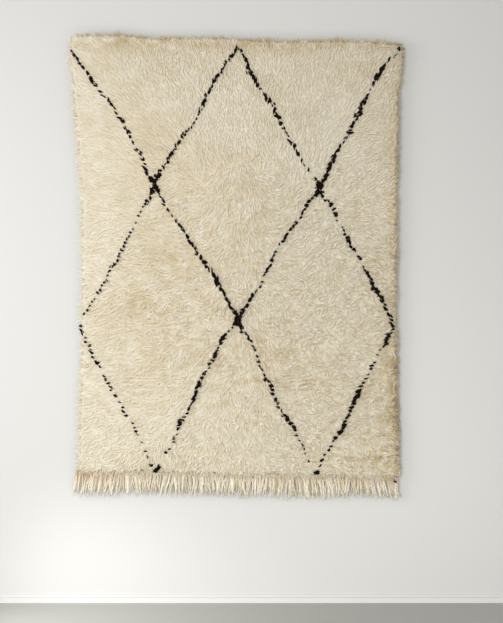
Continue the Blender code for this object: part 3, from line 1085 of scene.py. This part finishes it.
bead_shape = spindle(4, (0.3, 0.8))
places = np.concatenate(knot_places)
rows = np.round(places[:, 1] / RIB_PITCH - 0.5) + 0.5
columns = np.round(places[:, 0] / BEAD_PITCH)
places = np.stack([columns * BEAD_PITCH, rows * RIB_PITCH], 1)
places = np.unique(np.round(places, 5), axis=0)
root = places - (BEAD_LENGTH / 2, 0)
tip = places + (BEAD_LENGTH / 2, 0) + rng.normal(0, BEAD_TILT, places.shape)
width = np.full(len(places), BEAD_WIDTH)
px, pz, stand_out = bent(bead_shape, root, places, tip, width, BEAD_TAPER)
py = BACK - RIB_DEPTH + BEAD_FLATNESS * stand_out
mesh = joined("dark_knot_backs", bead_shape, px, py, pz, {"shade": rng.normal(0, 1, len(places))})
knot_backs = piece(mesh, dark_wool)

# ------------------------------------------------------------------------------------ fringe
# The fringe is the warp itself, left long when the rug was cut from the loom: thick undyed wool
# yarns that hang loose below the last weft, a little crossed, with frayed and thinning ends.

FRINGE_TOP = 0.012  # the strands start this far above the last knots
FRINGE_BACK = -0.0065
STRAND_RINGS = (0.14, 0.3, 0.46, 0.62, 0.78, 0.92)
STRAND_TAPER = ((0.0, 0.14, 0.3, 0.62, 0.78, 0.92, 1.0), (0.9, 1.0, 1.0, 0.85, 0.65, 0.35, 0.0))
# The strands hang in layers, from the thick ones behind, painted darker as shade, to the fine
# ends in front, painted paler as light.
Layer = namedtuple("Layer", "pitch width depth spread length tone")
FRINGE_LAYERS = (
    Layer(0.0095, 0.0120, 0.000, 0.05, 0.90, -1.6),
    Layer(0.0115, 0.0090, 0.0030, 0.12, 0.96, -0.4),
    Layer(0.0135, 0.0080, 0.0060, 0.18, 1.00, 0.5),
    Layer(0.0105, 0.0034, 0.0080, 0.24, 1.03, 0.8),
)
FRINGE_MARGIN = (0.008, 0.006)
STRAND_TRIM = (0.80, 1.06)
STRAND_SIZE = (0.75, 1.15)
STRAND_FLATNESS = 0.75
STRAND_BEND = 0.009
SWAY = 0.0032
DEPTH_SWAY = 0.0015
MOST_LEAN = 0.25
BUNDLE_LEAN = Wave(0.14, 0.030, 23)  # strands next to each other lean together
BUNDLE_LENGTH = Wave(0.07, 0.045, 24)
TONE_SPREAD = 0.7
RUST_SPREAD = (0.3, 1.2)
YARN_SOFTNESS = 0.4

# Place across the rug, how far the strands hang there, how far they lean to the right for each
# metre that they hang, and how rusty their roots are.
Strand = namedtuple("Strand", "x length lean rust")
STRANDS = (
    Strand(-0.77, 0.100, -0.30, 0.2),
    Strand(-0.66, 0.106, -0.20, 0.6),
    Strand(-0.60, 0.106, -0.10, 0.5),
    Strand(-0.45, 0.102, -0.05, 0.1),
    Strand(-0.36, 0.096, -0.04, 0.1),
    Strand(-0.17, 0.100, 0.00, 0.0),
    Strand(0.05, 0.096, 0.03, 0.1),
    Strand(0.30, 0.108, 0.08, 0.2),
    Strand(0.50, 0.092, 0.15, 0.2),
    Strand(0.62, 0.096, 0.18, 0.3),
    Strand(0.77, 0.098, 0.05, 0.4),
)
strand_shape = spindle(6, STRAND_RINGS)
fringe_low, fringe_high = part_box("fringe")


def strand_value(column, x):
    return np.interp(x, [s.x for s in STRANDS], [getattr(s, column) for s in STRANDS])


rng = np.random.default_rng(51)
parts = []
for layer in FRINGE_LAYERS:
    x = np.arange(fringe_low.x + FRINGE_MARGIN[0], fringe_high.x - FRINGE_MARGIN[1], layer.pitch)
    x = x + rng.uniform(-0.3, 0.3, len(x)) * layer.pitch
    z = np.interp(x, *bottom_line) + FRINGE_TOP
    length = strand_value("length", x) * layer.length * rng.uniform(*STRAND_TRIM, len(x))
    length = length * (1 + waves(x, z, BUNDLE_LENGTH)) + FRINGE_TOP
    own_lean = np.clip(rng.normal(0, layer.spread, len(x)), -MOST_LEAN, MOST_LEAN)
    lean = strand_value("lean", x) + own_lean + waves(x, z, BUNDLE_LEAN)
    root = np.stack([x, z], 1)
    tip = root + np.stack([lean * length, -length], 1)
    aside = rng.normal(0, STRAND_BEND, len(x))
    bend = (root + tip) / 2 + np.stack([aside, np.zeros(len(x))], 1)
    width = layer.width * rng.uniform(*STRAND_SIZE, len(x))
    px, pz, stand_out = bent(strand_shape, root, bend, tip, width, STRAND_TAPER)
    turns = math.tau * strand_shape.along + rng.uniform(0, math.tau, (len(x), 1))
    px = px + rng.normal(0, SWAY, (len(x), 1)) * strand_shape.along * np.sin(turns)
    wave = rng.uniform(-DEPTH_SWAY, DEPTH_SWAY, (len(x), 1)) * np.sin(strand_shape.along * math.pi)
    py = FRINGE_BACK - layer.depth + wave + STRAND_FLATNESS * stand_out
    rust = strand_value("rust", x) * rng.uniform(*RUST_SPREAD, len(x))
    parts.append((px, py, pz, layer.tone + rng.normal(0, TONE_SPREAD, len(x)), rust))
px, py, pz, shade, rust = (np.concatenate([part[k] for part in parts]) for k in range(5))

# Handspun warp yarn: two plies with a slow twist, so slanted ridges wind along each strand. It
# is cream, darker just below the weaving as painted shade under the pile's edge, and tea-brown
# there in places where damp has settled.
PLY_SLANT = (1.0, 3.5, 1.0)  # its ridges follow each other this much faster along than around
PLY_DEPTH = 0.0012
warp_yarn, surface = new_material("Handspun warp yarn")
strand_map = add_node(warp_yarn, "UVMap", {"uv_map": "Lock"}).outputs["UV"]
strand_parts = add_node(warp_yarn, "SeparateXYZ", Vector=strand_map)
rusted = add_node(warp_yarn, "Attribute", {"attribute_name": "rust"}).outputs["Fac"]
# The deeper layers of strands are painted darker as shade, the front ones paler as light.
yarn_cream = add_node(
    warp_yarn,
    "Mix",
    {"data_type": "RGBA"},
    Factor=own_tone(warp_yarn),
    A=linear("#B8AC8E"),
    B=linear("#EFE9DB"),
)
# Painted shade: the strands are darker just below the weaving, under the pile's edge.
near_root = add_node(
    warp_yarn,
    "MapRange",
    Value=strand_parts.outputs["Y"],
    From_Min=0.16,
    From_Max=0.42,
    To_Min=1.0,
    To_Max=0.0,
)
root_shade_share = add_node(
    warp_yarn,
    "Math",
    {"operation": "MULTIPLY"},
    _0=near_root.outputs["Result"],
    _1=0.5,
)
root_shaded = add_node(
    warp_yarn,
    "Mix",
    {"data_type": "RGBA"},
    Factor=root_shade_share.outputs[0],
    A=yarn_cream.outputs["Result"],
    B=linear("#B0A078"),
)
upper_half = add_node(
    warp_yarn,
    "MapRange",
    Value=strand_parts.outputs["Y"],
    From_Min=0.30,
    From_Max=0.65,
    To_Min=1.0,
    To_Max=0.0,
)
rust_share = add_node(
    warp_yarn, "Math", {"operation": "MULTIPLY"}, _0=upper_half.outputs["Result"], _1=rusted
)
yarn_colour = add_node(
    warp_yarn,
    "Mix",
    {"data_type": "RGBA"},
    Factor=rust_share.outputs[0],
    A=root_shaded.outputs["Result"],
    B=linear("#A9793F"),
)
twist_way = add_node(warp_yarn, "Mapping", Vector=strand_map, Scale=PLY_SLANT)
twist = add_node(
    warp_yarn,
    "TexWave",
    {"wave_type": "BANDS", "bands_direction": "DIAGONAL"},
    Vector=twist_way.outputs[0],
    Scale=1.0,
    Distortion=1.5,
    Detail=2.0,
)
relief = add_node(
    warp_yarn, "Bump", Height=twist.outputs["Fac"], Distance=PLY_DEPTH, Strength=0.6
)
shader = add_node(
    warp_yarn,
    "BsdfPrincipled",
    Base_Color=yarn_colour.outputs["Result"],
    Roughness=0.88,
    Sheen_Weight=0.15,
    Normal=relief.outputs[0],
)
shader.inputs["Specular IOR Level"].default_value = 0.2
connect(warp_yarn, shader, surface)

mesh = joined("warp_fringe", strand_shape, px, py, pz, {"shade": shade, "rust": rust})
fringe = piece(mesh, warp_yarn)
soften(mesh, YARN_SOFTNESS)
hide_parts("fringe")

# --------------------------------------------------------------------- floor, wall and light
# A pale plastered wall and floor, lit softly from the left, so that the pile shades to the
# right and the rug drops a soft shadow beside it.

FLOOR = -2.531
WALL = 0.012
STAGE_SIZE = 7.0
VIEW_MIDDLE = (0.058, -1.225)  # the camera looks squarely at this place, a little below the middle
VIEW_DISTANCE = 4.5
VIEW_HEIGHT = 2.791
SENSOR = 36.0
SKIRTING = (0.010, 0.034)  # its depth and height
GROOVE = 0.006
LEDGE_SHARE = 0.7


def stage_piece(name, shape, material):
    """Something of the room, which is no part of the rug. It uses up the bmesh."""
    mesh = bpy.data.meshes.new(name)
    shape.to_mesh(mesh)
    shape.free()
    mesh.materials.append(material)
    obj = bpy.data.objects.new(name, mesh)
    bpy.context.scene.collection.objects.link(obj)
    return obj


def flat_square(turn, middle):
    square = bmesh.new()
    bmesh.ops.create_grid(square, x_segments=1, y_segments=1, size=STAGE_SIZE / 2)
    bmesh.ops.transform(square, matrix=turn, verts=square.verts)
    bmesh.ops.translate(square, verts=square.verts, vec=middle)
    return square


def one_sided(material, paint, surface):
    """Paint that only shows from in front, so that nothing hides the rug from behind."""
    clear = add_node(material, "BsdfTransparent")
    behind = add_node(material, "NewGeometry").outputs["Backfacing"]
    seen = add_node(material, "MixShader", _0=behind, _1=paint.outputs[0], _2=clear.outputs[0])
    connect(material, seen, surface)


plaster, surface = new_material("Matt plaster")
paint = add_node(plaster, "BsdfPrincipled", Base_Color=linear("#CFCFCD"), Roughness=0.9)
one_sided(plaster, paint, surface)
upright = Matrix.Rotation(math.radians(90), 4, "X")
wall = stage_piece("wall", flat_square(upright, (0, WALL, FLOOR + STAGE_SIZE / 2)), plaster)
wall.visible_shadow = False
wall.visible_diffuse = False

screed, surface = new_material("Pale screed")
paint = add_node(screed, "BsdfPrincipled", Base_Color=linear("#A9A8A2"), Roughness=0.6)
connect(screed, paint, surface)
stage_piece("floor", flat_square(Matrix.Identity(4), (0, 0, FLOOR)), screed)

# A low painted skirting board with a groove along its top. It has no back, which the wall hides.
board, surface = new_material("White gloss paint")
paint = add_node(board, "BsdfPrincipled", Base_Color=linear("#D6D6D4"), Roughness=0.5)
one_sided(board, paint, surface)
for name, bottom, top, proud in (
    ("skirting", 0.0, SKIRTING[1] - 2 * GROOVE, 1.0),
    ("skirting_edge", SKIRTING[1] - GROOVE, SKIRTING[1], LEDGE_SHARE),
):
    depth = SKIRTING[0] * proud
    bar = bmesh.new()
    bmesh.ops.create_cube(bar, size=1)
    bar.normal_update()
    hidden = [face for face in bar.faces if face.normal.y > 0.5 or face.normal.z < -0.5]
    bmesh.ops.delete(bar, geom=hidden, context="FACES")
    bmesh.ops.scale(bar, verts=bar.verts, vec=(STAGE_SIZE, depth, top - bottom))
    middle = (0, WALL - depth / 2 - 0.001, FLOOR + (top + bottom) / 2)
    bmesh.ops.translate(bar, verts=bar.verts, vec=middle)
    stage_piece(name, bar, board)

world = bpy.data.worlds.new("Room light")
world.use_nodes = True
world.node_tree.nodes["Background"].inputs["Color"].default_value = linear("#F2F3F4")
world.node_tree.nodes["Background"].inputs["Strength"].default_value = 0.58
bpy.context.scene.world = world


def aim(light, place, way):
    """Hangs a lamp with this light at a place, and turns it this way."""
    lamp = bpy.data.objects.new(light.name, light)
    lamp.location = place
    lamp.rotation_euler = Vector(way).to_track_quat("-Z", "Y").to_euler()
    bpy.context.scene.collection.objects.link(lamp)


def area_light(name, place, target, size, power, colour):
    light = bpy.data.lights.new(name, "AREA")
    light.shape = "RECTANGLE"
    light.size, light.size_y = size
    light.energy = power
    light.color = linear(colour)[:3]
    aim(light, place, Vector(target) - Vector(place))


area_light("window", (-3.3, -1.65, -0.9), (0.0, 0.0, -1.3), (1.7, 1.5), 60, "#F9FBFF")
area_light("room", (-0.65, -4.0, -0.6), (0.5, 0.0, -1.7), (2.0, 1.6), 71, "#FFFAF2")
area_light("ceiling_bounce", (0.0, -1.1, 1.0), (0.0, 0.0, -0.1), (2.4, 0.8), 0.8, "#FFF2E0")
area_light("floor_bounce", (0.5, -1.6, -2.45), (0.5, 0.0, -2.1), (3.0, 0.8), 18, "#FFFEFC")

# A patch of sun on the wall's foot and the floor, at the lower left.
pool = bpy.data.lights.new("floor_pool", "SPOT")
pool.energy = 46
pool.spot_size = math.radians(76)
pool.spot_blend = 1.0
pool.shadow_soft_size = 0.15
aim(pool, (-1.2, -0.65, -1.55), (0.55, 0.20, -0.95))

camera = bpy.data.cameras.new("Camera")
camera.sensor_width = SENSOR
camera.lens = SENSOR * VIEW_DISTANCE / VIEW_HEIGHT
viewpoint = bpy.data.objects.new("Camera", camera)
viewpoint.location = (VIEW_MIDDLE[0], -VIEW_DISTANCE, VIEW_MIDDLE[1])
viewpoint.rotation_euler = (math.radians(90), 0, 0)
bpy.context.scene.collection.objects.link(viewpoint)
bpy.context.scene.camera = viewpoint
bpy.context.scene.view_settings.view_transform = "Standard"
bpy.context.scene.cycles.diffuse_bounces = 8
